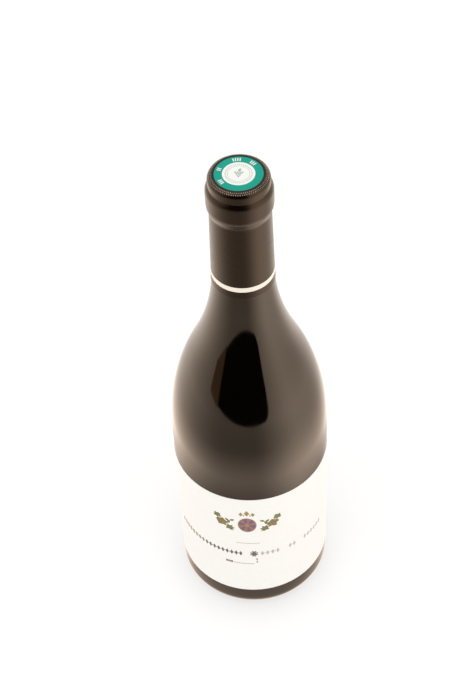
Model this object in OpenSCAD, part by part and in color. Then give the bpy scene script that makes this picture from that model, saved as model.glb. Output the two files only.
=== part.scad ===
// A sealed wine bottle of the sloping-shouldered kind, standing on its base.
// +Z is up, the origin is the middle of the base, and the label faces -Y.
// The dark glass and the wine behind it are one closed solid, because neither can be seen into.

/* [Glass body] */
// Height of the glass, from the base to the top of the mouth
bottle_h = 297.9; // [250:0.1:360]
// Diameter of the straight body
body_d = 82.6; // [70:0.2:100]
// Radius of the outward curve where the body turns into the shoulder
shoulder_r = 139; // [115:1:167]
// Radius of the inward curve where the shoulder runs up into the neck
neck_curve_r = 136; // [113:1:164]
// Radius of the heel between the body and the base
heel_r = 9; // [6:0.5:12]
// Width of the flat ring that the bottle stands on
bearing_w = 2.5; // [1.5:0.5:5]

/* [Punt] */
// Height of the hollow pushed up into the base
punt_h = 26; // [18:1:32]
// Lean of the hollow's side, in degrees from upright
punt_lean = 35; // [30:1:40]
// Radius of the hollow's edge beside the bearing ring
punt_edge_r = 3; // [1:0.5:4]

/* [Neck] */
// Length of the neck, from the end of the shoulder to the top of the mouth
neck_h = 56.3; // [46:0.1:66]
// Neck diameter at its foot
neck_foot_d = 30; // [28:0.1:34]
// Neck diameter just under the mouth ring
neck_top_d = 28.7; // [26:0.1:29.6]

/* [Mouth ring] */
// Diameter of the lip at the very top
lip_d = 28.6; // [27:0.1:30.8]
// Height of the lip above the collar's rounded top
lip_h = 5.7; // [4:0.1:8]
// Radius of the lip's top edge
lip_edge_r = 2.4; // [1.6:0.1:3.2]
// Diameter of the collar under the lip
collar_d = 31.2; // [30:0.1:34]
// Radius of the rounding from the lip out to the collar's straight side
collar_top_r = 5; // [3:0.5:8]
// Height of the collar's straight side
collar_h = 6.8; // [4:0.1:9]
// Height over which the collar tapers down to the neck
collar_taper_h = 5.6; // [4:0.1:7]
// Radius of the collar's lower edge
collar_edge_r = 6; // [2:0.5:8]

/* [Capsule] */
// Length of the capsule, from its cut edge up to the top of the glass
capsule_h = 65.9; // [45:0.1:80]
// Thickness of the capsule
capsule_wall = 0.4; // [0.2:0.05:0.6]
// Width of the flat rim that holds the round disc in the capsule's top
disc_rim_w = 0.4; // [0.2:0.1:2]
// How far the disc lies below the rim
disc_recess = 0.1; // [0:0.05:0.2]

/* [Label] */
// Length of the label around the body
label_w = 140; // [90:1:170]
// Bare glass between the base and the label's lower edge
label_foot_gap = 17.2; // [12:0.2:25]
// Straight glass between the label's upper edge and the start of the shoulder
label_head_gap = 20.9; // [8:0.1:30]
// Thickness of the paper
label_wall = 0.15; // [0.1:0.05:0.3]

/* [Hidden] */
// Largest gap between an arc and the chords that draw it
arc_gap = 0.012;
$fn = 128;

// The shoulder is two arcs that touch, one tangent to the body and one to the neck.
body_r = body_d / 2;
neck_foot_r = neck_foot_d / 2;
shoulder_arc_x = body_r - shoulder_r;
neck_arc_x = neck_foot_r + neck_curve_r;
shoulder_h = sqrt(pow(shoulder_r + neck_curve_r, 2) - pow(neck_arc_x - shoulder_arc_x, 2));
shoulder_turn = asin(shoulder_h / (shoulder_r + neck_curve_r));
neck_foot_z = bottle_h - neck_h;
body_h = neck_foot_z - shoulder_h;

// The mouth ring is stacked down from the top of the glass.
lip_r = lip_d / 2;
collar_r = collar_d / 2;
collar_arc_x = collar_r - collar_top_r;
collar_top_turn = acos((lip_r - collar_arc_x) / collar_top_r);
collar_top_z = bottle_h - lip_h - collar_top_r * sin(collar_top_turn);
collar_foot_z = collar_top_z - collar_h;
neck_top_z = collar_foot_z - collar_taper_h;
taper_lean = atan((collar_r - neck_top_d / 2) / collar_taper_h);

// The punt is a rounded edge, a straight side and a round crown, each tangent to the next.
punt_r = body_r - heel_r - bearing_w;
punt_crown_r = (punt_r * cos(punt_lean) - punt_h * sin(punt_lean)) / (1 - sin(punt_lean)) - punt_edge_r;

capsule_foot_z = bottle_h - capsule_h;
disc_r = lip_r - lip_edge_r - disc_rim_w;
label_h = body_h - label_foot_gap - label_head_gap;
label_turn = label_w / body_r * 180 / PI;

// Points along an arc, both ends included, in as few steps as arc_gap allows.
function arc_steps(r, sweep) = max(2, ceil(abs(sweep) / (2 * acos(1 - arc_gap / r))));
function arc(x, z, r, from, to) =
    let (n = arc_steps(r, to - from))
    [for (i = [0:n]) let (a = from + (to - from) * i / n) [x + r * cos(a), z + r * sin(a)]];

// The hollow in the base, from its crown on the axis out to the bearing ring.
function punt_outline() = concat(
    arc(0, punt_h - punt_crown_r, punt_crown_r, 90, punt_lean),
    arc(punt_r, punt_edge_r, punt_edge_r, 180 + punt_lean, 270)
);

// Heel, body and shoulder, from the bearing ring up to the neck.
function body_outline() = concat(
    arc(body_r - heel_r, heel_r, heel_r, -90, 0),
    arc(shoulder_arc_x, body_h, shoulder_r, 0, shoulder_turn),
    arc(neck_arc_x, neck_foot_z, neck_curve_r, 180 + shoulder_turn, 180)
);

// Neck and mouth ring up to where the lip's top edge begins.
function neck_outline() = concat(
    [[neck_top_d / 2, neck_top_z]],
    arc(collar_r - collar_edge_r, collar_foot_z, collar_edge_r, -taper_lean, 0),
    arc(collar_arc_x, collar_top_z, collar_top_r, 0, collar_top_turn)
);

// The lip's top edge, with a layer laid on the glass.
function lip_edge(layer) = arc(lip_r - lip_edge_r, bottle_h - lip_edge_r, lip_edge_r + layer, 0, 90);

// The glass's radius at a height above the heel.
function glass_r(z) = lookup(z, [for (p = concat(body_outline(), neck_outline())) [p.y, p.x]]);

// The outside of the neck from the capsule's cut edge upwards, with a layer laid on the glass.
function sleeve_outline(layer) = concat(
    [[glass_r(capsule_foot_z) + layer, capsule_foot_z]],
    [for (p = concat(body_outline(), neck_outline())) if (p.y > capsule_foot_z) [p.x + layer, p.y]],
    lip_edge(layer)
);

function reversed(points) = [for (i = [len(points) - 1:-1:0]) points[i]];

module bottle() {
    color("#17110d")
        rotate_extrude()
            polygon(concat(
                punt_outline(),
                body_outline(),
                neck_outline(),
                lip_edge(0),
                [[0, bottle_h]]
            ));
}

module capsule() {
    color("#2b211a")
        rotate_extrude()
            polygon(concat(
                sleeve_outline(capsule_wall),
                [[disc_r, bottle_h + capsule_wall], [disc_r, bottle_h]],
                reversed(sleeve_outline(0))
            ));
}

module capsule_disc() {
    color("#12a184")
        translate([0, 0, bottle_h])
            cylinder(r = disc_r, h = capsule_wall - disc_recess);
}

module label() {
    color("ivory")
        rotate([0, 0, -90 - label_turn / 2])
            rotate_extrude(angle = label_turn)
                translate([body_r, label_foot_gap])
                    square([label_wall, label_h]);
}

bottle();
capsule();
capsule_disc();
label();
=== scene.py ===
"""The looks of the wine bottle: glass, foil capsule, printed disc, paper label and its print."""

import math

import bmesh
import bpy
from mathutils import Matrix, Vector


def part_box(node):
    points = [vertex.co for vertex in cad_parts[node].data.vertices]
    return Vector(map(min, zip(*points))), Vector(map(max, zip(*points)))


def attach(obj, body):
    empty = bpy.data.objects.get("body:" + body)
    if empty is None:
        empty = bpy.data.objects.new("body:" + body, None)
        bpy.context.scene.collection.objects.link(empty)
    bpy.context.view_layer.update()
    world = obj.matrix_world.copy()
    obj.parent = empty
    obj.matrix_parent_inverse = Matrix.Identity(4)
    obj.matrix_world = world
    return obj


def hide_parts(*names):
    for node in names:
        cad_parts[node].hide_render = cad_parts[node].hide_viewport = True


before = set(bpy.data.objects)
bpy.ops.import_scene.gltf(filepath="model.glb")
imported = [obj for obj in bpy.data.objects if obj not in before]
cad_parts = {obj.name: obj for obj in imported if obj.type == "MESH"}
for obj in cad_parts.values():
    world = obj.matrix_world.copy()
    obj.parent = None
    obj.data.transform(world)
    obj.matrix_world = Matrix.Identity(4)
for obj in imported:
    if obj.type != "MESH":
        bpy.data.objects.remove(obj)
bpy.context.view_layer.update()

MM = 0.001
ROUND = 288  # steps round the axis of every turned piece
ARC_STEP = math.radians(2.5)  # largest turn between two points of an outline's arc
LEAF_POINT = 0.8  # below 1 a leaf is widest nearer its foot
TINY = 1e-6  # lengths in metres that make no difference
SAME_HEIGHT = 1e-5
SAME_POINT = 1e-7
ON_AXIS = 1e-9
INK = 0.02 * MM  # thickness of a printed layer

# ---------------------------------------------------------------- places, from the frame

BOTTLE_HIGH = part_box("bottle")[1]
CAPSULE_LOW, CAPSULE_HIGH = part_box("capsule")
DISC_LOW, DISC_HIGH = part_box("capsule_disc")
LABEL_LOW, LABEL_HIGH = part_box("label")

BODY_R = BOTTLE_HIGH.x
MOUTH_Z = BOTTLE_HIGH.z
DISC_R = DISC_HIGH.x
LABEL_R = -LABEL_LOW.y

# ---------------------------------------------------------------- sizes of the glass and the capsule

SHOULDER_R = 139 * MM
NECK_CURVE_R = 136 * MM
HEEL_R = 9 * MM
BEARING_W = 2.5 * MM
PUNT_H = 26 * MM
PUNT_LEAN = math.radians(35)
PUNT_EDGE_R = 3 * MM
NECK_H = 56.3 * MM
NECK_FOOT_R = 15 * MM
NECK_TOP_R = 14.35 * MM
LIP_R = 14.3 * MM
LIP_H = 5.7 * MM
LIP_EDGE_R = 2.4 * MM
COLLAR_R = 15.6 * MM
COLLAR_TOP_R = 5 * MM
COLLAR_H = 6.8 * MM
COLLAR_TAPER_H = 5.6 * MM
COLLAR_EDGE_R = 6 * MM
FOIL = CAPSULE_HIGH.z - MOUTH_Z

# The pale line and the fold, by height above the capsule's cut edge and below the collar.
PALE_LINE_LOW = 3.9 * MM
PALE_LINE_HIGH = 6.8 * MM
FOLD_LOW = 2.3 * MM
FOLD_HIGH = 1.3 * MM
FOLD_RAISED = 0.12 * MM
FOLD_HALF_TOP = 0.15 * MM
SUNK = 0.05 * MM  # how far a raised piece's edges go into the foil under it

# The teeth in the capsule's rim, in rows by their angle on the rounded edge, 90 at the top.
TEETH = 84
TOOTH_ROWS = ((62, 76), (42, 56))
TOOTH_HALF_TURN = 0.017
TOOTH_RAISED = 0.16 * MM
TOOTH_STEPS = 4

NOTCHES = ROUND // 4
NOTCH_DEPTH = 0.25 * MM

COLLAR_ARC_X = COLLAR_R - COLLAR_TOP_R
COLLAR_TOP_TURN = math.acos((LIP_R - COLLAR_ARC_X) / COLLAR_TOP_R)
COLLAR_TOP_Z = MOUTH_Z - LIP_H - COLLAR_TOP_R * math.sin(COLLAR_TOP_TURN)
COLLAR_FOOT_Z = COLLAR_TOP_Z - COLLAR_H


# ---------------------------------------------------------------- outlines, as (radius, height)


def arc(x, z, r, start, end):
    """Points along an arc, both ends included. Angles are in radians, 0 along +radius."""
    steps = max(3, math.ceil(abs(end - start) / ARC_STEP))
    turns = [start + (end - start) * i / steps for i in range(steps + 1)]
    return [(x + r * math.cos(t), z + r * math.sin(t)) for t in turns]


def line(start, end, steps):
    """Points between two others, both left out."""
    shares = [i / steps for i in range(1, steps)]
    return [tuple(a + (b - a) * s for a, b in zip(start, end)) for s in shares]


def shoulder_outline():
    """The two arcs from the body's straight side to the neck's foot."""
    foot_z = MOUTH_Z - NECK_H
    arc_x = BODY_R - SHOULDER_R
    neck_x = NECK_FOOT_R + NECK_CURVE_R
    reach = SHOULDER_R + NECK_CURVE_R
    height = math.sqrt(reach**2 - (neck_x - arc_x) ** 2)
    turn = math.asin(height / reach)
    low = arc(arc_x, foot_z - height, SHOULDER_R, 0, turn)
    high = arc(neck_x, foot_z, NECK_CURVE_R, math.pi + turn, math.pi)
    return low + high[1:]


def neck_outline():
    """Neck, collar and the lip's straight side, up to where the lip's top edge begins."""
    lean = math.atan((COLLAR_R - NECK_TOP_R) / COLLAR_TAPER_H)
    neck_top = (NECK_TOP_R, COLLAR_FOOT_Z - COLLAR_TAPER_H)
    corner = arc(COLLAR_R - COLLAR_EDGE_R, COLLAR_FOOT_Z, COLLAR_EDGE_R, -lean, 0)
    rounding = arc(COLLAR_ARC_X, COLLAR_TOP_Z, COLLAR_TOP_R, 0, COLLAR_TOP_TURN)
    points = [neck_top] + line(neck_top, corner[0], 6) + corner
    points += line(corner[-1], rounding[0], 10) + rounding
    return points + line(rounding[-1], (LIP_R, MOUTH_Z - LIP_EDGE_R), 6)


def lip_edge(layer):
    return arc(LIP_R - LIP_EDGE_R, MOUTH_Z - LIP_EDGE_R, LIP_EDGE_R + layer, 0, math.pi / 2)


def punt_outline():
    """The hollow in the base, from its crown on the axis out to the bearing ring."""
    edge_x = BODY_R - HEEL_R - BEARING_W
    flat = edge_x * math.cos(PUNT_LEAN) - PUNT_H * math.sin(PUNT_LEAN)
    crown_r = flat / (1 - math.sin(PUNT_LEAN)) - PUNT_EDGE_R
    crown = arc(0, PUNT_H - crown_r, crown_r, math.pi / 2, PUNT_LEAN)
    edge = arc(edge_x, PUNT_EDGE_R, PUNT_EDGE_R, math.pi + PUNT_LEAN, 1.5 * math.pi)
    return crown + line(crown[-1], edge[0], 8) + edge


def glass_outline():
    heel = arc(BODY_R - HEEL_R, HEEL_R, HEEL_R, -math.pi / 2, 0)
    shoulder = shoulder_outline()
    neck = neck_outline()
    bearing = punt_outline()
    points = bearing + line(bearing[-1], heel[0], 3) + heel
    points += line(heel[-1], shoulder[0], 24) + shoulder
    points += line(shoulder[-1], neck[0], 30) + neck
    return points + lip_edge(0) + [(0, MOUTH_Z)]


def radius_at(outline, z):
    """The outline's radius at a height, where the outline climbs."""
    for (r0, z0), (r1, z1) in zip(outline, outline[1:]):
        if z0 <= z <= z1 and z1 > z0:
            return r0 + (r1 - r0) * (z - z0) / (z1 - z0)
    return outline[-1][0]


# ---------------------------------------------------------------- making meshes


def finished(name, bm, material, crease=35):
    """A mesh object from a bmesh: smooth, but sharp where faces meet at more than crease degrees."""
    bmesh.ops.remove_doubles(bm, verts=bm.verts, dist=SAME_POINT)
    bmesh.ops.recalc_face_normals(bm, faces=bm.faces)
    for face in bm.faces:
        face.smooth = True
    for edge in bm.edges:
        edge.smooth = len(edge.link_faces) == 2 and edge.calc_face_angle() < math.radians(crease)
    mesh = bpy.data.meshes.new(name)
    bm.to_mesh(mesh)
    bm.free()
    mesh.materials.append(material)
    piece = bpy.data.objects.new(name, mesh)
    bpy.context.scene.collection.objects.link(piece)
    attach(piece, "root")
    return piece


def turned(outline, closed=False, shape=None):
    """A bmesh of an outline turned about the axis.

    shape moves a point, given its radius, height and angle.
    """
    bm = bmesh.new()
    rings = []
    for r, z in outline:
        if r < ON_AXIS:
            rings.append([bm.verts.new((0, 0, z))] * ROUND)
            continue
        ring = []
        for i in range(ROUND):
            angle = 2 * math.pi * i / ROUND
            radius, height = shape(r, z, angle) if shape else (r, z)
            ring.append(bm.verts.new((radius * math.cos(angle), radius * math.sin(angle), height)))
        rings.append(ring)
    pairs = list(zip(rings, rings[1:]))
    if closed:
        pairs.append((rings[-1], rings[0]))
    for low, high in pairs:
        for i in range(ROUND):
            j = (i + 1) % ROUND
            corners = [low[i], low[j], high[j], high[i]]
            bm.faces.new(list(dict.fromkeys(corners)))
    return bm


# ---------------------------------------------------------------- print: flat shapes laid on a surface


def tilted(points, u, v, tilt):
    """Points turned by tilt about the origin, which then moves to (u, v)."""
    c, s = math.cos(tilt), math.sin(tilt)
    return [(u + x * c - y * s, v + x * s + y * c) for x, y in points]


def ellipse(u, v, half_w, half_h, steps=28, tilt=0.0):
    turns = [2 * math.pi * i / steps for i in range(steps)]
    return tilted([(half_w * math.cos(t), half_h * math.sin(t)) for t in turns], u, v, tilt)


def lozenge(u, v, half_w, half_h):
    return [(u + half_w, v), (u, v + half_h), (u - half_w, v), (u, v - half_h)]


def bar(u, v, half_w, half_h, tilt=0.0):
    corners = [(half_w, -half_h), (half_w, half_h), (-half_w, half_h), (-half_w, -half_h)]
    return tilted(corners, u, v, tilt)


def leaf(u, v, length, width, tilt, steps=9):
    """A pointed leaf that starts at (u, v) and grows along tilt."""
    side = []
    for i in range(steps + 1):
        side.append((length * i / steps, width / 2 * math.sin(math.pi * (i / steps) ** LEAF_POINT)))
    return tilted(side + [(x, -y) for x, y in reversed(side[1:-1])], u, v, tilt)


def ribbon(path, width):
    """A band of one width along a path of points."""
    left, right = [], []
    for i, (x, y) in enumerate(path):
        x0, y0 = path[max(i - 1, 0)]
        x1, y1 = path[min(i + 1, len(path) - 1)]
        reach = math.hypot(x1 - x0, y1 - y0)
        nx, ny = -(y1 - y0) / reach * width / 2, (x1 - x0) / reach * width / 2
        left.append((x + nx, y + ny))
        right.append((x - nx, y - ny))
    return left + right[::-1]


def ring(r_in, r_out, steps=96):
    """An annulus about the middle of the disc, as four-cornered cells."""
    cells = []
    for i in range(steps):
        a, b = 2 * math.pi * i / steps, 2 * math.pi * (i + 1) / steps
        corners = [(r_in, a), (r_out, a), (r_out, b), (r_in, b)]
        cells.append([(r * math.cos(t), r * math.sin(t)) for r, t in corners])
    return cells


def sector(u, v, half_w, half_h, start, end, steps=6):
    """A wedge of an ellipse."""
    turns = [start + (end - start) * i / steps for i in range(steps + 1)]
    return [(u, v)] + [(u + half_w * math.cos(t), v + half_h * math.sin(t)) for t in turns]


def on_label(u, v, height):
    """A point of the label: u metres round from its middle, at height v, raised by height."""
    angle = u / LABEL_R - math.pi / 2
    radius = LABEL_R + height
    return Vector((radius * math.cos(angle), radius * math.sin(angle), v))


def on_disc(u, v, height):
    return Vector((u, v, DISC_HIGH.z + height))


def printed(name, shapes, place, material, lift=0.0, cut=1.5 * MM):
    """One piece of many flat shapes, each a closed plate on the surface that place lays it on."""
    bm = bmesh.new()
    for shape in shapes:
        flat = bmesh.new()
        flat.faces.new([flat.verts.new((u, v, 0)) for u, v in shape])
        low = min(u for u, v in shape)
        high = max(u for u, v in shape)
        strips = math.ceil((high - low) / cut)
        for i in range(1, strips):
            parts = flat.verts[:] + flat.edges[:] + flat.faces[:]
            at = low + (high - low) * i / strips
            bmesh.ops.bisect_plane(flat, geom=parts, plane_co=(at, 0, 0), plane_no=(1, 0, 0))
        rim = [e for e in flat.edges if len(e.link_faces) == 1]
        top = {v: bm.verts.new(place(v.co.x, v.co.y, lift + INK)) for v in flat.verts}
        foot = {v: bm.verts.new(place(v.co.x, v.co.y, lift)) for v in flat.verts}
        for face in flat.faces:
            bm.faces.new([top[v] for v in face.verts])
            bm.faces.new([foot[v] for v in reversed(face.verts)])
        for edge in rim:
            a, b = edge.verts
            bm.faces.new([top[a], foot[a], foot[b], top[b]])
        flat.free()
    bmesh.ops.triangulate(bm, faces=[f for f in bm.faces if len(f.verts) > 4])
    return finished(name, bm, material)


# ---------------------------------------------------------------- materials


MIX_LOW, MIX_HIGH, MIX_RESULT = 6, 7, 2


def node_material(name, **settings):
    """A Principled material and its node tree. Settings are the shader's own sockets."""
    material = bpy.data.materials.new(name)
    material.use_nodes = True
    shader = material.node_tree.nodes["Principled BSDF"]
    for socket, value in settings.items():
        shader.inputs[socket.replace("_", " ")].default_value = value
    return material, material.node_tree, shader


def add(tree, kind, **settings):
    node = tree.nodes.new(kind)
    for name, value in settings.items():
        if hasattr(node, name):
            setattr(node, name, value)
        else:
            node.inputs[name.replace("_", " ")].default_value = value
    return node


def noise(tree, scale, detail=3.0, stretch=(1, 1, 1)):
    """Noise in the piece's own coordinates, scale in bumps to the metre."""
    where = add(tree, "ShaderNodeTexCoord")
    mapping = add(tree, "ShaderNodeMapping")
    mapping.inputs["Scale"].default_value = stretch
    field = add(tree, "ShaderNodeTexNoise", Scale=scale, Detail=detail)
    tree.links.new(where.outputs["Object"], mapping.inputs["Vector"])
    tree.links.new(mapping.outputs["Vector"], field.inputs["Vector"])
    return field.outputs["Fac"]


def blend_colours(tree, factor, low, high):
    """A colour from low to high. The Mix node's colour sockets are known by number."""
    mix = add(tree, "ShaderNodeMix", data_type="RGBA")
    mix.inputs[MIX_LOW].default_value = (*low, 1)
    mix.inputs[MIX_HIGH].default_value = (*high, 1)
    tree.links.new(factor, mix.inputs["Factor"])
    return mix.outputs[MIX_RESULT]


def ranged(tree, value, start, end, low, high, step="LINEAR"):
    """A number from low to high as value goes from start to end."""
    node = add(tree, "ShaderNodeMapRange", interpolation_type=step)
    for socket, number in (("From Min", start), ("From Max", end), ("To Min", low), ("To Max", high)):
        node.inputs[socket].default_value = number
    tree.links.new(value, node.inputs["Value"])
    return node.outputs["Result"]


def spread(tree, factor, low, high):
    """A number from low to high over the stretch where noise mostly lies."""
    return ranged(tree, factor, 0.3, 0.7, low, high)


def bump(tree, shader, height, depth):
    """Relief whose full depth is in metres."""
    node = add(tree, "ShaderNodeBump", Distance=depth, Strength=1.0)
    tree.links.new(height, node.inputs["Height"])
    tree.links.new(node.outputs["Normal"], shader.inputs["Normal"])


def glass_material():
    material, tree, shader = node_material("dark_glass", IOR=1.5, Specular_Tint=(1, 0.95, 0.88, 1))
    tint = blend_colours(tree, noise(tree, 30), (0.0006, 0.0004, 0.0003), (0.0016, 0.0010, 0.0006))
    tree.links.new(tint, shader.inputs["Base Color"])
    tree.links.new(spread(tree, noise(tree, 90, 5), 0.05, 0.09), shader.inputs["Roughness"])
    bump(tree, shader, noise(tree, 22, 1), 0.00004)
    return material


def foil_material():
    sheen = {"Specular_IOR_Level": 0.34, "Specular_Tint": (1, 0.82, 0.66, 1)}
    material, tree, shader = node_material("capsule_foil", **sheen)
    tint = blend_colours(tree, noise(tree, 120, 4), (0.0014, 0.0007, 0.0003), (0.0034, 0.0018, 0.0010))
    tree.links.new(tint, shader.inputs["Base Color"])
    tree.links.new(spread(tree, noise(tree, 500, 4), 0.22, 0.30), shader.inputs["Roughness"])
    bump(tree, shader, noise(tree, 900, 3, (1, 1, 0.3)), 0.00002)
    return material


def worn_and_highlit_foil_material(name, metallic, pale_colour):
    """Foil mottled from its dark colour towards a paler one: on the rim's teeth wear with a painted
    highlight, on the crease a painted highlight.
    """
    material, tree, shader = node_material(name, Metallic=metallic, Specular_Tint=(1, 0.9, 0.8, 1))
    tint = blend_colours(tree, noise(tree, 1400, 3), (0.012, 0.009, 0.007), pale_colour)
    tree.links.new(tint, shader.inputs["Base Color"])
    tree.links.new(spread(tree, noise(tree, 700, 2), 0.28, 0.42), shader.inputs["Roughness"])
    return material


def ink_material(name, low, high, roughness=0.45, grain=1500, gloss=0.5):
    """Printing ink that lies a little uneven."""
    material, tree, shader = node_material(name, Specular_IOR_Level=gloss)
    tint = blend_colours(tree, noise(tree, grain, 4), low, high)
    tree.links.new(tint, shader.inputs["Base Color"])
    rough = spread(tree, noise(tree, grain, 2), roughness - 0.05, roughness + 0.05)
    tree.links.new(rough, shader.inputs["Roughness"])
    return material


def paper_material():
    material, tree, shader = node_material("label_paper")
    tint = blend_colours(tree, noise(tree, 260, 6), (0.85, 0.84, 0.815), (0.89, 0.88, 0.858))
    tree.links.new(tint, shader.inputs["Base Color"])
    tree.links.new(spread(tree, noise(tree, 700, 3), 0.55, 0.7), shader.inputs["Roughness"])
    bump(tree, shader, noise(tree, 2600, 4, (1, 1, 0.6)), 0.00003)
    return material


GLASS = glass_material()
FOIL_BROWN = foil_material()
# Paler foil on the rim's teeth: partly wear, partly a painted highlight.
WORN_FOIL_AND_HIGHLIGHT = worn_and_highlit_foil_material("worn_foil_and_highlight", 0.4, (0.62, 0.56, 0.49))
# Paler foil on the fold below the collar: a painted highlight.
CREASE_PAINTED_HIGHLIGHT = worn_and_highlit_foil_material("crease_painted_highlight", 0.2, (0.11, 0.095, 0.08))
PAPER = paper_material()
CREAM = ink_material("cream_ink", (0.80, 0.74, 0.64), (0.86, 0.80, 0.70))
GREEN = ink_material("green_ink", (0.002, 0.27, 0.20), (0.003, 0.35, 0.27), 0.5, 400, 0.15)
WHITE = ink_material("white_ink", (0.78, 0.80, 0.78), (0.84, 0.85, 0.83))
GREY_GREEN = ink_material("grey_green_ink", (0.22, 0.34, 0.28), (0.30, 0.42, 0.36))
MOSS = ink_material("moss_ink", (0.20, 0.19, 0.08), (0.30, 0.28, 0.14))
GREY = ink_material("grey_ink", (0.10, 0.085, 0.07), (0.16, 0.14, 0.12))
# Pale grey: faint print, and on the label's right-hand border print washed out by painted light.
PALE_GREY = ink_material("pale_grey_ink_and_painted_light", (0.42, 0.40, 0.36), (0.52, 0.50, 0.46))
GOLD = ink_material("gold_ink", (0.26, 0.17, 0.06), (0.40, 0.29, 0.12))
OLIVE = ink_material("olive_ink", (0.10, 0.12, 0.035), (0.20, 0.21, 0.08))
BRONZE = ink_material("bronze_ink", (0.17, 0.11, 0.045), (0.30, 0.20, 0.09))
RED = ink_material("red_ink", (0.36, 0.09, 0.08), (0.46, 0.15, 0.13))
BLUE = ink_material("blue_ink", (0.06, 0.10, 0.16), (0.12, 0.17, 0.25))


# ---------------------------------------------------------------- the glass


def make_bottle():
    """The glass and the wine in it, with fine notches all round the ring that it stands on."""
    inner, outer = BODY_R - HEEL_R - BEARING_W, BODY_R - HEEL_R

    def notched(r, z, angle):
        on_ring = z < TINY and inner - TINY < r < outer + TINY
        return (r, NOTCH_DEPTH * (0.5 - 0.5 * math.cos(NOTCHES * angle))) if on_ring else (r, z)

    piece = finished("bottle_glass", turned(glass_outline(), shape=notched), GLASS, 60)
    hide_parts("bottle")


# ---------------------------------------------------------------- the capsule


def capsule_skin(layer):
    """The outside of the capsule from its cut edge to its flat top, layer away from the glass."""
    outline = shoulder_outline() + neck_outline()
    foot_z = CAPSULE_LOW.z
    start = (radius_at(outline, foot_z) + layer, foot_z)
    above = [(r + layer, z) for r, z in outline if z > foot_z + SAME_HEIGHT]
    knee = len([1 for r, z in shoulder_outline() if z > foot_z + SAME_HEIGHT])
    above[knee:knee] = line(above[knee - 1], above[knee], 30)
    return [start] + above + lip_edge(layer)


def make_capsule():
    outer = capsule_skin(FOIL)
    inner = capsule_skin(0.0)
    outline = outer + [(DISC_R, CAPSULE_HIGH.z), (DISC_R, MOUTH_Z)] + inner[::-1]
    piece = finished("capsule_sleeve", turned(outline, closed=True), FOIL_BROWN, 25)
    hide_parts("capsule")


def make_capsule_line():
    """The pale line printed round the capsule near its cut edge."""
    skin = capsule_skin(FOIL)
    width = PALE_LINE_HIGH - PALE_LINE_LOW
    heights = [CAPSULE_LOW.z + PALE_LINE_LOW + width * i / 4 for i in range(5)]
    face = [(radius_at(skin, z), z) for z in heights]
    outline = [(r + INK, z) for r, z in face] + face[::-1]
    finished("capsule_line", turned(outline, closed=True), CREAM)


def make_capsule_crease():
    """The fold in the foil at the lower end of the collar, paler than the foil round it as a painted
    highlight.
    """
    skin = capsule_skin(FOIL)
    low, high = COLLAR_FOOT_Z - FOLD_LOW, COLLAR_FOOT_Z - FOLD_HIGH
    middle = (low + high) / 2
    top_r = radius_at(skin, middle) + FOLD_RAISED
    outline = [(radius_at(skin, low) - SUNK, low), (top_r, middle - FOLD_HALF_TOP)]
    outline += [(top_r, middle + FOLD_HALF_TOP), (radius_at(skin, high) - SUNK, high)]
    # The fold's paler colour is a painted highlight.
    finished("capsule_crease", turned(outline, closed=True), CREASE_PAINTED_HIGHLIGHT)


def tooth_rail(bm, sweep, layer, angle, pressed):
    """One of a tooth's three edges, layer above the foil. A pressed one goes down at both its ends."""
    reach = LIP_EDGE_R + FOIL + layer
    centre_r, centre_z = LIP_R - LIP_EDGE_R, MOUTH_Z - LIP_EDGE_R
    rail = [(centre_r + reach * math.cos(a), centre_z + reach * math.sin(a)) for a in sweep]
    if pressed:
        for k in (0, -1):
            r, z = rail[k]
            rail[k] = (r - TOOTH_RAISED * math.cos(sweep[k]), z - TOOTH_RAISED * math.sin(sweep[k]))
    return [bm.verts.new((r * math.cos(angle), r * math.sin(angle), z)) for r, z in rail]


def make_capsule_rim():
    """Two rows of short teeth pressed into the rounded rim of the capsule, paler than the foil: partly
    worn at their tips, partly a painted highlight.
    """
    bm = bmesh.new()
    for row, (start, end) in enumerate(TOOTH_ROWS):
        shares = [k / TOOTH_STEPS for k in range(TOOTH_STEPS + 1)]
        sweep = [math.radians(start + (end - start) * share) for share in shares]
        for i in range(TEETH):
            middle = 2 * math.pi * (i + 0.5 * row) / TEETH
            rails = []
            for side, layer in ((-1, -SUNK), (0, TOOTH_RAISED), (1, -SUNK)):
                angle = middle + side * TOOTH_HALF_TURN
                rails.append(tooth_rail(bm, sweep, layer, angle, not side))
            for a, b in zip(rails, rails[1:] + rails[:1]):
                for k in range(TOOTH_STEPS):
                    bm.faces.new([a[k], b[k], b[k + 1], a[k + 1]])
            for k in (0, TOOTH_STEPS):
                bm.faces.new([rail[k] for rail in rails])
    # The teeth's paler colour is partly wear and partly a painted highlight.
    finished("capsule_rim_teeth", bm, WORN_FOIL_AND_HIGHLIGHT)


# ---------------------------------------------------------------- the disc in the capsule's top


DISC_EDGE_R = 0.12 * MM
FIELD_R = DISC_R - 0.15 * MM
CENTRE_R = 7.6 * MM
MARK_GROUPS = ((99, 4), (50, 3), (164, 2), (216, 3))  # degrees of each group's middle, and its marks
MARK_PITCH = 6.5
FINE_MARKS = 40
FINE_MARK_R = 6.1 * MM
GRAPE_ROW = 0.98
GRAPE_PITCH = 1.12


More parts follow.
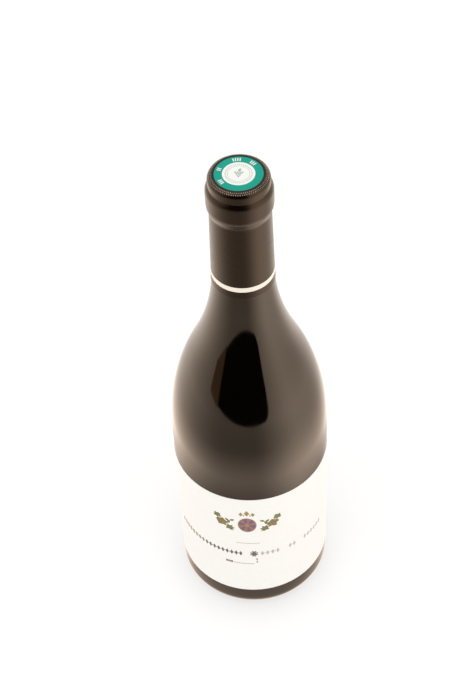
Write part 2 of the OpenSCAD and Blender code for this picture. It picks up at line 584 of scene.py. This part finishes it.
def make_disc():
    """The disc, softened at its edge, and the fields and marks printed on it."""
    top = DISC_HIGH.z
    softened = arc(DISC_R - DISC_EDGE_R, top - DISC_EDGE_R, DISC_EDGE_R, 0, math.pi / 2)
    outline = [(0, DISC_LOW.z), (DISC_R, DISC_LOW.z)] + softened + [(0, top)]
    piece = finished("disc_body", turned(outline), FOIL_BROWN, 60)
    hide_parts("capsule_disc")

    printed("disc_green_field", ring(CENTRE_R, FIELD_R), on_disc, GREEN)
    printed("disc_pale_centre", [ellipse(0, 0, CENTRE_R, CENTRE_R, 96)], on_disc, WHITE)

    marks = []
    mark_r = (CENTRE_R + FIELD_R) / 2
    for middle, count in MARK_GROUPS:
        for i in range(count):
            angle = math.radians(middle + MARK_PITCH * (i - (count - 1) / 2))
            u, v = mark_r * math.cos(angle), mark_r * math.sin(angle)
            marks.append(bar(u, v, 1.0 * MM, 0.27 * MM, angle))
    printed("disc_pale_marks", marks, on_disc, WHITE, lift=INK)

    fine = []
    for i in range(FINE_MARKS):
        angle = 2 * math.pi * i / FINE_MARKS
        u, v = FINE_MARK_R * math.cos(angle), FINE_MARK_R * math.sin(angle)
        fine.append(bar(u, v, 0.36 * MM, 0.16 * MM, angle))
    fine += ring(5.05 * MM, 5.2 * MM)
    printed("disc_fine_marks", fine, on_disc, GREY_GREEN, lift=INK)

    bunch = [leaf(-0.1 * MM, 1.6 * MM, 2.1 * MM, 1.3 * MM, math.radians(62))]
    for row, count in enumerate((4, 3, 2, 1)):
        v = (1.0 - GRAPE_ROW * row) * MM
        for i in range(count):
            u = (i - (count - 1) / 2) * GRAPE_PITCH * MM
            bunch.append(ellipse(u, v, 0.44 * MM, 0.44 * MM, 14))
    printed("disc_bunch", bunch, on_disc, GREY_GREEN, lift=INK)


# ---------------------------------------------------------------- the label


LABEL_CELLS = (224, 24)  # round and up


def make_label():
    """The sheet of paper, as far round as the CAD sheet reaches."""
    points = [v.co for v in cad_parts["label"].data.vertices]
    reach = max(abs(math.atan2(p.x, -p.y)) for p in points)
    thick = LABEL_R - BODY_R
    tall = LABEL_HIGH.z - LABEL_LOW.z
    across, up = LABEL_CELLS
    heights = [LABEL_LOW.z + tall * k / up for k in range(up + 1)]
    bm = bmesh.new()
    sides = []
    for layer in (-thick, 0.0):
        grid = []
        for i in range(across + 1):
            u = LABEL_R * reach * (2 * i / across - 1)
            grid.append([bm.verts.new(on_label(u, z, layer)) for z in heights])
        sides.append(grid)
    back, front = sides
    for i in range(across):
        for k in range(up):
            bm.faces.new([front[i][k], front[i + 1][k], front[i + 1][k + 1], front[i][k + 1]])
            bm.faces.new([back[i][k], back[i][k + 1], back[i + 1][k + 1], back[i + 1][k]])
        for k in (0, up):
            bm.faces.new([front[i][k], back[i][k], back[i + 1][k], front[i + 1][k]])
    for i in (0, across):
        for k in range(up):
            bm.faces.new([front[i][k], front[i][k + 1], back[i][k + 1], back[i][k]])
    piece = finished("label_sheet", bm, PAPER)
    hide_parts("label")


LOBES = 5
LOBE_DEPTH = 0.20
STALK_NOTCH = 0.45
LEAF_WIDTH = 0.82
RIB_WIDTH = 0.16 * MM
RIB_LIFT = 0.025 * MM


def lobed_leaf(u, v, size, tilt, steps=40):
    """A broad leaf with rounded lobes round its far side."""
    points = []
    for i in range(steps):
        a = 2 * math.pi * i / steps
        lobe = 1 - LOBE_DEPTH + LOBE_DEPTH * math.cos(LOBES * a)
        notch = 1 - STALK_NOTCH * max(0.0, math.cos(a - math.pi)) ** 4
        points.append((size * lobe * notch * math.cos(a), LEAF_WIDTH * size * lobe * notch * math.sin(a)))
    return tilted(points, u, v, tilt)


def veins(u, v, size, tilt):
    """The ribs of a lobed leaf."""
    ribs = []
    for turn in (-1.2, -0.6, 0.0, 0.6, 1.2):
        a = tilt + turn
        foot = (u - 0.4 * size * math.cos(tilt), v - 0.4 * size * math.sin(tilt))
        tip = (u + 0.7 * size * math.cos(a), v + 0.6 * size * math.sin(a))
        ribs.append(ribbon([foot, tip], RIB_WIDTH))
    return ribs


def sprig(side):
    """A leafy sprig beside the medallion. side is -1 on the left and 1 on the right."""
    def placed(points):
        return [(side * u, v) for u, v in points][::side]

    stem = [(7.6, 74.6), (9.6, 78.2), (11.8, 80.6), (14.2, 82.6), (16.8, 86.4)]
    twig = [(11.4, 80.2), (10.2, 82.6), (8.0, 84.6)]
    broad = ((13.5, 80.4, 4.3, 0.35),)
    small = ((16.4, 85.3, 2.9, 0.9), (9.2, 77.0, 3.0, -0.5))
    shapes = {"stem": [], "broad": [], "small": [], "ribs": []}
    for path, width in ((stem, 0.5), (twig, 0.4)):
        shapes["stem"].append(placed(ribbon([(u * MM, v * MM) for u, v in path], width * MM)))
    for u, v, size, tilt in broad:
        shapes["broad"].append(placed(lobed_leaf(u * MM, v * MM, size * MM, tilt)))
    for u, v, size, tilt in small:
        shapes["small"].append(placed(lobed_leaf(u * MM, v * MM, size * MM, tilt)))
    for u, v, tilt in ((9.4, 83.4, 2.7), (10.2, 82.4, 0.9), (11.0, 80.6, 2.2), (15.0, 83.0, -0.6)):
        shapes["small"].append(placed(leaf(u * MM, v * MM, 2.9 * MM, 1.6 * MM, tilt)))
    for u, v, size, tilt in broad + small:
        shapes["ribs"] += [placed(rib) for rib in veins(u * MM, v * MM, size * MM, tilt)]
    return shapes


MEDALLION_Z = 80.6 * MM
MEDALLION_HALF = (4.8 * MM, 6.1 * MM)
MEDALLION_WEDGES = 12
MEDALLION_RIM_W = 0.5 * MM
MEDALLION_RIM_STEPS = 48


def medallion_rim():
    """The gold rim, as short bands that each follow two sides of the oval."""
    path = ellipse(0, MEDALLION_Z, *MEDALLION_HALF, MEDALLION_RIM_STEPS)
    starts = range(0, MEDALLION_RIM_STEPS, 2)
    closed = path + path[:1]
    return [ribbon(closed[i : i + 3], MEDALLION_RIM_W) for i in starts]


def make_medallion():
    """A plain oval of alternate wedges in a gold rim, with three gold lozenges over it."""
    groups = ([], [])
    for i in range(MEDALLION_WEDGES):
        start, end = 2 * math.pi * i / MEDALLION_WEDGES, 2 * math.pi * (i + 1) / MEDALLION_WEDGES
        groups[i % 2].append(sector(0, MEDALLION_Z, *MEDALLION_HALF, start, end))
    printed("medallion_red", groups[0], on_label, RED)
    printed("medallion_blue", groups[1], on_label, BLUE)
    gold = medallion_rim() + [ellipse(0, MEDALLION_Z, 1.2 * MM, 1.5 * MM, 24)]
    for u, v, size in ((0, 91.2, 1.9), (-3.2, 90.2, 1.4), (3.2, 90.2, 1.4)):
        gold.append(lozenge(u * MM, v * MM, size * 0.8 * MM, size * 1.3 * MM))
    for u in (-1.7, 1.7):
        gold.append(ellipse(u * MM, 89.3 * MM, 0.45 * MM, 0.55 * MM, 12))
    printed("medallion_gold", gold, on_label, GOLD, lift=INK)
    for side, name in ((-1, "left"), (1, "right")):
        shapes = sprig(side)
        printed("sprig_stem_" + name, shapes["stem"], on_label, OLIVE, lift=INK)
        printed("sprig_broad_leaf_" + name, shapes["broad"], on_label, BRONZE)
        printed("sprig_small_leaves_" + name, shapes["small"], on_label, OLIVE)
        printed("sprig_ribs_" + name, shapes["ribs"], on_label, GOLD, lift=RIB_LIFT)


LOZENGE_SHARE = 0.34  # a lozenge's half width as a share of the pitch
DOT_R = 0.36 * MM


def border(start, end, v, half_h, pitch):
    """A run of lozenges with a dot between each two, as an ornament."""
    count = max(1, round((end - start) / pitch))
    shapes = []
    for i in range(count):
        u = start + (i + 0.5) * (end - start) / count
        shapes.append(lozenge(u, v, pitch * LOZENGE_SHARE, half_h))
        if i:
            shapes.append(ellipse(u - (end - start) / count / 2, v, DOT_R, DOT_R, 10))
    return shapes


def make_label_rows():
    """Rows of plain ornament where a label carries its words."""
    main_v, main_h, pitch = 53.3 * MM, 2.2 * MM, 2.7 * MM
    olive = border(-47 * MM, -26.2 * MM, main_v, main_h, pitch)
    printed("label_border_far_left", olive, on_label, MOSS)
    dark = border(-26.2 * MM, -3.0 * MM, main_v, main_h, pitch)
    printed("label_border_left", dark, on_label, GREY)
    # The right-hand runs are printed pale grey as painted light: the same ornament washed out where the
    # label is lit brightest.
    pale = border(6.2 * MM, 17.9 * MM, main_v, main_h, pitch)
    pale += border(22.6 * MM, 27.9 * MM, main_v, main_h, pitch)
    pale += border(32.8 * MM, 48.5 * MM, main_v, main_h, pitch)
    printed("label_border_right", pale, on_label, PALE_GREY)
    flower_u, reach_u, reach_v = 3.1 * MM, 1.5, 1.9
    flower = [ellipse(flower_u, main_v, 1.0 * MM, 1.2 * MM, 20)]
    for i in range(8):
        a = (i + 0.5) * math.pi / 4
        u, v = flower_u + reach_u * MM * math.cos(a), main_v + reach_v * MM * math.sin(a)
        tilt = math.atan2(reach_v * math.sin(a), reach_u * math.cos(a))
        flower.append(ellipse(u, v, 0.95 * MM, 0.5 * MM, 12, tilt))
    printed("label_rosette", flower, on_label, GREY)
    drop = [lozenge(4.6 * MM, (47.9 - 2.6 * i) * MM, 0.55 * MM, (1.3 - 0.3 * i) * MM) for i in range(2)]
    printed("label_pendant", drop, on_label, GOLD)
    bold = [bar(u * MM, 43.9 * MM, 0.6 * MM, 0.85 * MM) for u in (-12.4, -11.0, -9.6)]
    printed("label_fine_row_start", bold, on_label, GREY)
    fine = [bar((-8.0 + 1.3 * i) * MM, 43.6 * MM, 0.45 * MM, 0.45 * MM) for i in range(9)]
    fine += [bar((i - 6.0) * MM, 63.4 * MM, 0.35 * MM, 0.35 * MM) for i in range(13)]
    printed("label_fine_rows", fine, on_label, PALE_GREY)


make_bottle()
make_capsule()
make_capsule_line()
make_capsule_crease()
make_capsule_rim()
make_disc()
make_label()
make_medallion()
make_label_rows()


# ---------------------------------------------------------------- camera

CAMERA_AZIMUTH = math.radians(5.3)
CAMERA_REACH = 0.5431
CAMERA_HEIGHT = 0.8021
CAMERA_PITCH = math.radians(49.02)
CAMERA_YAW = math.radians(-0.695)
CAMERA_ROLL = math.radians(-3.07)
CAMERA_LENS = 83.76
CAMERA_SENSOR = 36


def make_camera():
    data = bpy.data.cameras.new("camera")
    data.sensor_width = CAMERA_SENSOR
    data.lens = CAMERA_LENS
    data.clip_start, data.clip_end = 0.05, 50
    camera = bpy.data.objects.new("camera", data)
    bpy.context.scene.collection.objects.link(camera)
    pitch, yaw = CAMERA_PITCH, CAMERA_YAW
    ahead = Vector((math.sin(yaw) * math.cos(pitch), math.cos(yaw) * math.cos(pitch), -math.sin(pitch)))
    level = Vector((math.cos(yaw), -math.sin(yaw), 0))
    over = level.cross(ahead)
    right = math.cos(CAMERA_ROLL) * level + math.sin(CAMERA_ROLL) * over
    up = math.cos(CAMERA_ROLL) * over - math.sin(CAMERA_ROLL) * level
    turn = Matrix((right, up, -ahead)).transposed().to_4x4()
    place = Matrix.Translation((0, -CAMERA_REACH, CAMERA_HEIGHT))
    camera.matrix_world = Matrix.Rotation(CAMERA_AZIMUTH, 4, "Z") @ place @ turn
    bpy.context.scene.camera = camera


make_camera()


# ---------------------------------------------------------------- studio: floor, light and cards

# The soft lights that the glass and the foil reflect. Each has the degrees of its middle from
# straight in front, right positive, the degrees from there to where it ends, and its brightness.
SOFT_LIGHTS = ((60, 58, 1.7), (-115, 85, 1.2), (130, 60, 0.9))
# How lit the table and the room look, from the bottle's foot outwards. Each ring has the distances
# in metres between which it begins, its own glow, and the share of the soft lights that it gets.
# The first begins below 0, so it is there from the middle on.
TABLE_R = 0.42
RINGS = (
    (-2.0, -1.0, 1.5, 0.2), (0.039, 0.0495, 1.1, 0.0), (0.058, 0.078, 0.4, 0.65),
    (0.105, 0.128, 1.35, 0.8), (0.13, 0.22, 0.7, 1.0), (0.26, TABLE_R, 0.9, 1.2),
)
ROOM_TINT = (1.0, 0.79, 0.63)
BACK_TINT = (1.0, 0.94, 0.89)
BACK_BEGINS = 0.55  # as a share of the half turn from straight in front to straight behind
ROOM_R = 8.0
ROOM_LOW = -4.0
ROOM_HIGH = 8.0
ROOM_SIDES = 48
JUST_UNDER_FLOOR = -0.001
CARD_Y = -2.86
FLOOR_HALF = 6
FLOOR_WHITE = 0.33
FLOOR_GLOW = 0.66
WORLD_LIGHT = 1.15
WORLD_TINT = (1, 0.985, 0.965)


def stage_object(name, points, faces, material):
    mesh = bpy.data.meshes.new(name)
    mesh.from_pydata(points, [], faces)
    mesh.materials.append(material)
    thing = bpy.data.objects.new(name, mesh)
    bpy.context.scene.collection.objects.link(thing)
    return thing


def only_reflected(thing):
    """Keeps a stage piece out of everything but reflections, and turns it with the camera."""
    thing.visible_camera = False
    thing.visible_diffuse = False
    thing.visible_shadow = False
    thing.rotation_euler = (0, 0, CAMERA_AZIMUTH)
    for material in thing.data.materials:
        material.cycles.emission_sampling = "NONE"


def glow_material(name, colour, strength):
    material = bpy.data.materials.new(name)
    material.use_nodes = True
    tree = material.node_tree
    tree.nodes.clear()
    glow = add(tree, "ShaderNodeEmission", Color=(*colour, 1), Strength=strength)
    out = add(tree, "ShaderNodeOutputMaterial")
    tree.links.new(glow.outputs["Emission"], out.inputs["Surface"])
    return material, tree, glow


def maths(tree, operation, *values):
    """A Math node. Each value is a number or another node's output."""
    node = add(tree, "ShaderNodeMath", operation=operation)
    for socket, value in zip(node.inputs, values):
        if isinstance(value, (int, float)):
            socket.default_value = value
        else:
            tree.links.new(value, socket)
    return node.outputs["Value"]


def scaled(tree, colour, factor):
    node = add(tree, "ShaderNodeVectorMath", operation="SCALE")
    tree.links.new(colour, node.inputs[0])
    tree.links.new(factor, node.inputs["Scale"])
    return node.outputs["Vector"]


def summed(tree, values):
    total = values[0]
    for value in values[1:]:
        total = maths(tree, "ADD", total, value)
    return total


def soft_light(tree, angle, middle, half_width, bright):
    """The light that one soft light gives at an angle round the bottle."""
    turned_by = maths(tree, "SUBTRACT", angle, math.radians(middle))
    away = maths(tree, "ABSOLUTE", maths(tree, "WRAP", turned_by, math.pi, -math.pi))
    return ranged(tree, away, 0, math.radians(half_width), bright, 0, "SMOOTHSTEP")


def ringed(tree, reach, values):
    """A value that each ring of RINGS changes in its turn, from the bottle outwards."""
    steps = [value - before for value, before in zip(values, [0.0] + values[:-1])]
    return summed(tree, [ranged(tree, reach, *ring[:2], 0, step) for ring, step in zip(RINGS, steps)])


def room_material():
    material, tree, glow = glow_material("room", ROOM_TINT, 1.0)
    where = add(tree, "ShaderNodeTexCoord")
    split = add(tree, "ShaderNodeSeparateXYZ")
    tree.links.new(where.outputs["Object"], split.inputs["Vector"])
    x, y = split.outputs["X"], split.outputs["Y"]
    angle = maths(tree, "ARCTAN2", x, maths(tree, "MULTIPLY", y, -1.0))
    squares = maths(tree, "ADD", maths(tree, "POWER", x, 2.0), maths(tree, "POWER", y, 2.0))
    reach = maths(tree, "SQRT", squares)
    lights = summed(tree, [soft_light(tree, angle, *light) for light in SOFT_LIGHTS])
    glows = [own_glow for start, end, own_glow, share in RINGS]
    shares = [share for start, end, own_glow, share in RINGS]
    lights = maths(tree, "MULTIPLY", lights, ringed(tree, reach, shares))
    bright = maths(tree, "ADD", lights, ringed(tree, reach, glows))
    tints = add(tree, "ShaderNodeValToRGB")
    tree.links.new(maths(tree, "DIVIDE", maths(tree, "ABSOLUTE", angle), math.pi), tints.inputs["Fac"])
    ends = tints.color_ramp.elements
    ends[0].position = BACK_BEGINS
    ends[0].color = (*ROOM_TINT, 1)
    ends[1].color = (*BACK_TINT, 1)
    tree.links.new(scaled(tree, tints.outputs["Color"], bright), glow.inputs["Color"])
    return material


def circle(radius, z):
    turns = [2 * math.pi * i / ROOM_SIDES for i in range(ROOM_SIDES)]
    return [(radius * math.cos(t), radius * math.sin(t), z) for t in turns]


def make_room():
    """What the glass and the foil reflect: a lit table top and a lit room round it."""
    sides = ROOM_SIDES
    points = circle(ROOM_R, ROOM_LOW) + circle(ROOM_R, ROOM_HIGH) + circle(TABLE_R, JUST_UNDER_FLOOR)
    faces = [(i, (i + 1) % sides, sides + (i + 1) % sides, sides + i) for i in range(sides)]
    faces += [tuple(range(k * sides, (k + 1) * sides)) for k in range(3)]
    only_reflected(stage_object("room", points, faces, room_material()))


def card(name, left, right, foot, top, colour, strength, rounding=0.0):
    """An upright card in front of the bottle, beyond the table, its lower right corner rounded."""
    turns = [math.radians(a) for a in range(-90, 1, 10)]
    outline = [(left, foot)]
    outline += [(right + rounding * (math.cos(t) - 1), foot + rounding * (math.sin(t) + 1)) for t in turns]
    outline += [(right, top), (left, top)]
    corners = [(x, CARD_Y, z) for x, z in outline]
    faces = [tuple(range(len(corners)))]
    only_reflected(stage_object(name, corners, faces, glow_material(name, colour, strength)[0]))


def make_floor():
    size = FLOOR_HALF
    corners = [(-size, -size, 0), (size, -size, 0), (size, size, 0), (-size, size, 0)]
    material, _, shader = node_material("floor", Roughness=0.9, Emission_Strength=FLOOR_GLOW)
    shader.inputs["Base Color"].default_value = (FLOOR_WHITE, FLOOR_WHITE, FLOOR_WHITE, 1)
    shader.inputs["Emission Color"].default_value = (1, 1, 1, 1)
    floor = stage_object("floor", corners, [(0, 1, 2, 3)], material)
    floor.visible_glossy = False


def make_world():
    world = bpy.data.worlds.new("world")
    bpy.context.scene.world = world
    world.use_nodes = True
    background = world.node_tree.nodes["Background"]
    background.inputs["Color"].default_value = (*WORLD_TINT, 1)
    background.inputs["Strength"].default_value = WORLD_LIGHT


def make_studio():
    make_world()
    make_floor()
    make_room()
    card("card_black", -2.95, 1.5, -1.0, 7.9, (0, 0, 0), 0, 0.4)
    card("card_brown", -5.2, -2.95, -1.1, 0.8, (1, 0.55, 0.3), 0.5)
    bpy.context.scene.view_settings.view_transform = "Standard"


make_studio()
